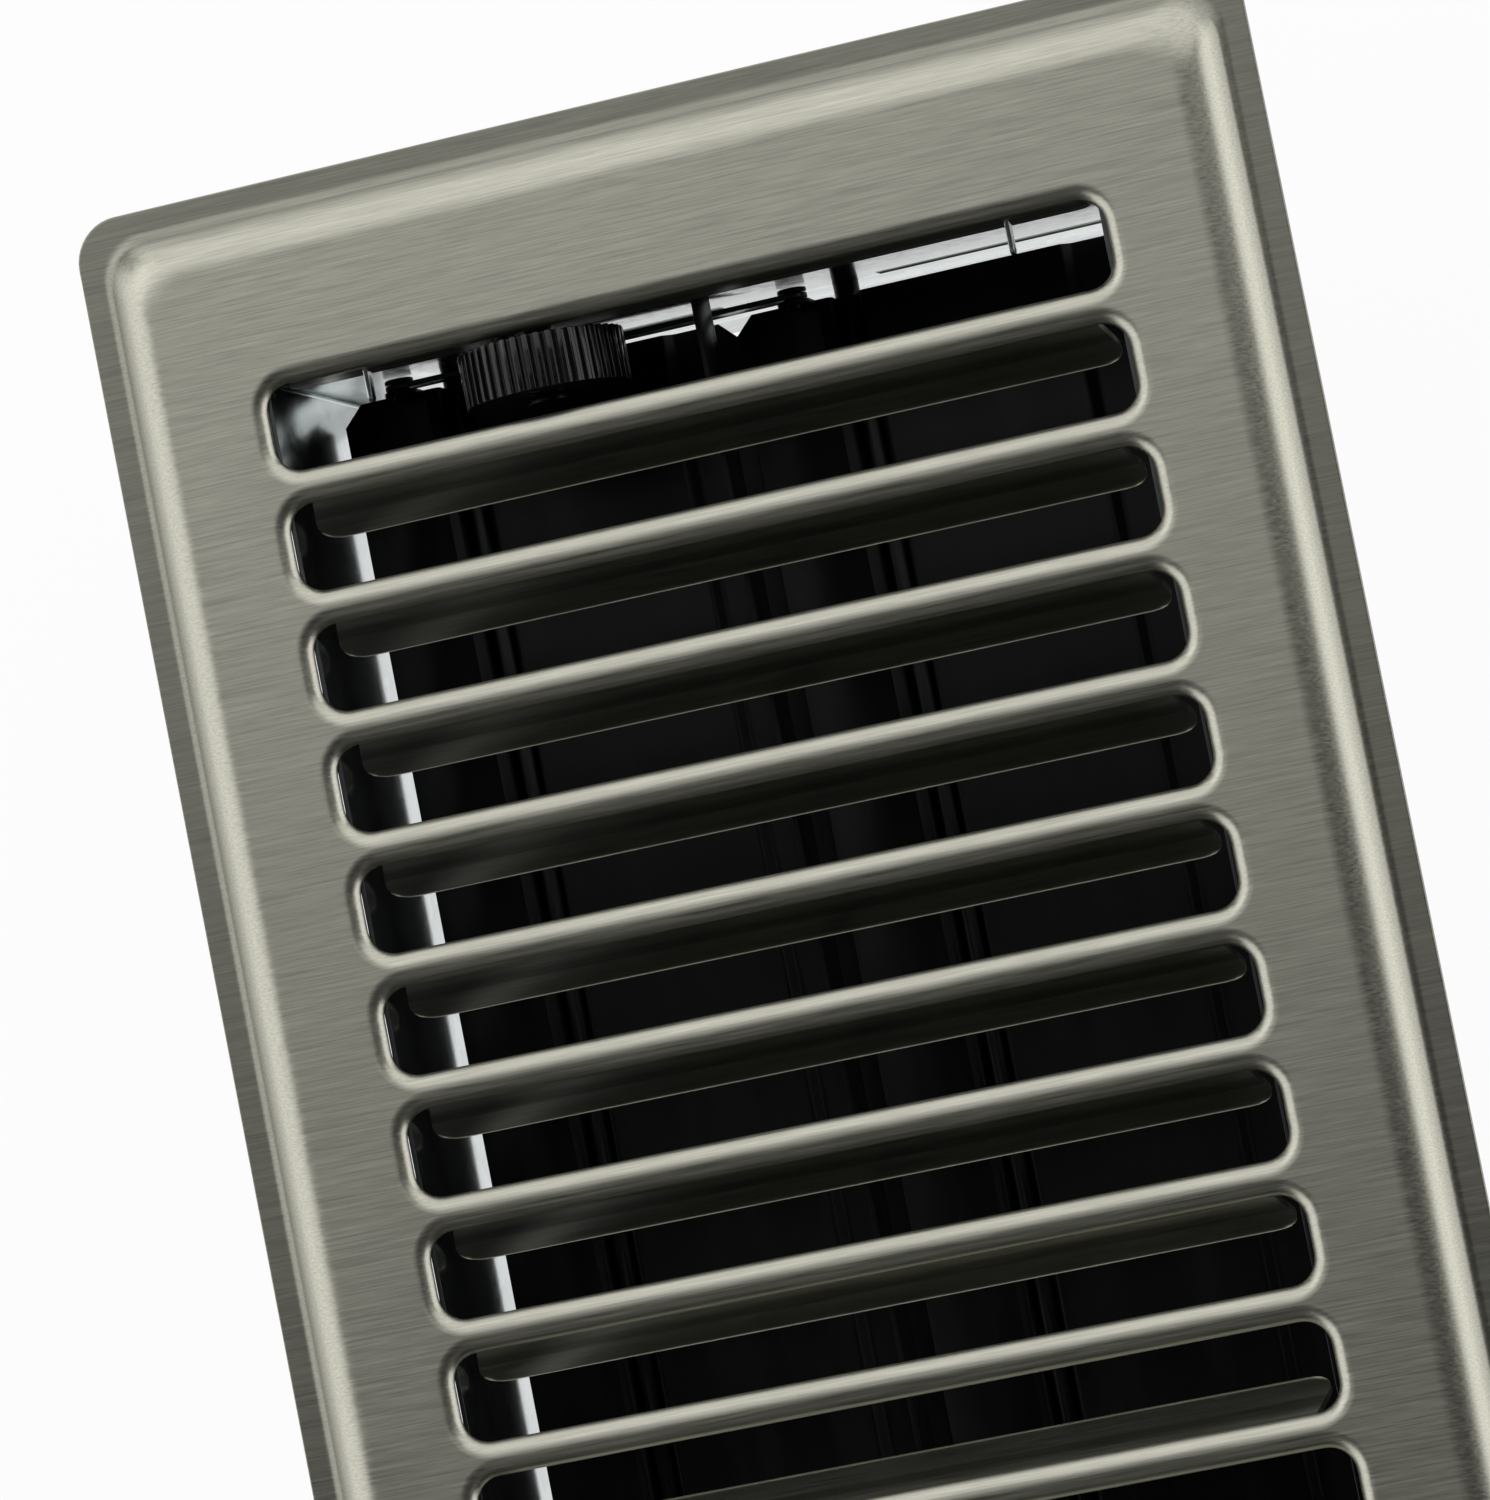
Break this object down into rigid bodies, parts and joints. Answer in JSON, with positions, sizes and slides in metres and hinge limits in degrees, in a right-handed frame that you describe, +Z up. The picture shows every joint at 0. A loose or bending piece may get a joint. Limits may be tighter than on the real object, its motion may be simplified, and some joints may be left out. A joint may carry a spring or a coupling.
{
  "type": "floor register",
  "caption": "Pressed-steel floor register: a louvred face with rolled slots over a galvanised damper box, with two linked damper blades turned by a thumbwheel.",
  "frame": {"origin": "middle of the face in plan, at floor level, on the plane where the lip of the face rests", "axes": "+Z up out of the floor, Y along the face with the thumbwheel at the +Y end, X across the face"},
  "size_m": [0.138, 0.2952, 0.0505],
  "materials": {
    "face": "brushed nickel plate on pressed steel, brush lines across the face",
    "galvanised": "galvanised sheet",
    "rib": "plain steel strip",
    "steel": "plain steel wire and rivets",
    "blades": "black paint on rolled sheet",
    "wheel": "moulded black plastic, ribbed rim",
    "link": "black strip"
  },
  "bodies": {
    "root": {"faceplate": "face", "side_left": "galvanised", "side_right": "galvanised", "end_plate_front": "galvanised", "end_plate_back": "galvanised", "centre_rib": "rib", "wheel_axle": "steel"},
    "blade_left": {"blade_left": "blades", "blade_rod_left": "steel", "link_pin_left": "steel"},
    "blade_right": {"blade_right": "blades", "blade_rod_right": "steel", "link_pin_right": "steel"},
    "thumbwheel": {"thumbwheel": "wheel"},
    "link": {"link_bar": "link"}
  },
  "joints": [
    {"name": "blade_left_turn", "type": "hinge", "parent": "root", "child": "blade_left", "pos_m": [-0.0345, 0, -0.0248], "axis": [0, 1, 0], "range_deg": [0, 90]},
    {"name": "blade_right_turn", "type": "hinge", "parent": "root", "child": "blade_right", "pos_m": [0.0135, 0, -0.0248], "axis": [0, 1, 0], "range_deg": [0, 90]},
    {"name": "wheel_roll", "type": "hinge", "parent": "root", "child": "thumbwheel", "pos_m": [-0.0186, 0.12, -0.0051], "axis": [0, 1, 0], "range_deg": [-90, 0]},
    {"name": "link_swing", "type": "hinge", "parent": "blade_left", "child": "link", "pos_m": [-0.0398, 0.12375, -0.0195], "axis": [0, 1, 0], "range_deg": [-90, 0]}
  ],
  "couplings": [
    {"joint": "blade_right_turn", "follows": "blade_left_turn", "ratio": 1},
    {"joint": "wheel_roll", "follows": "blade_left_turn", "ratio": -1},
    {"joint": "link_swing", "follows": "blade_left_turn", "ratio": -1}
  ]
}
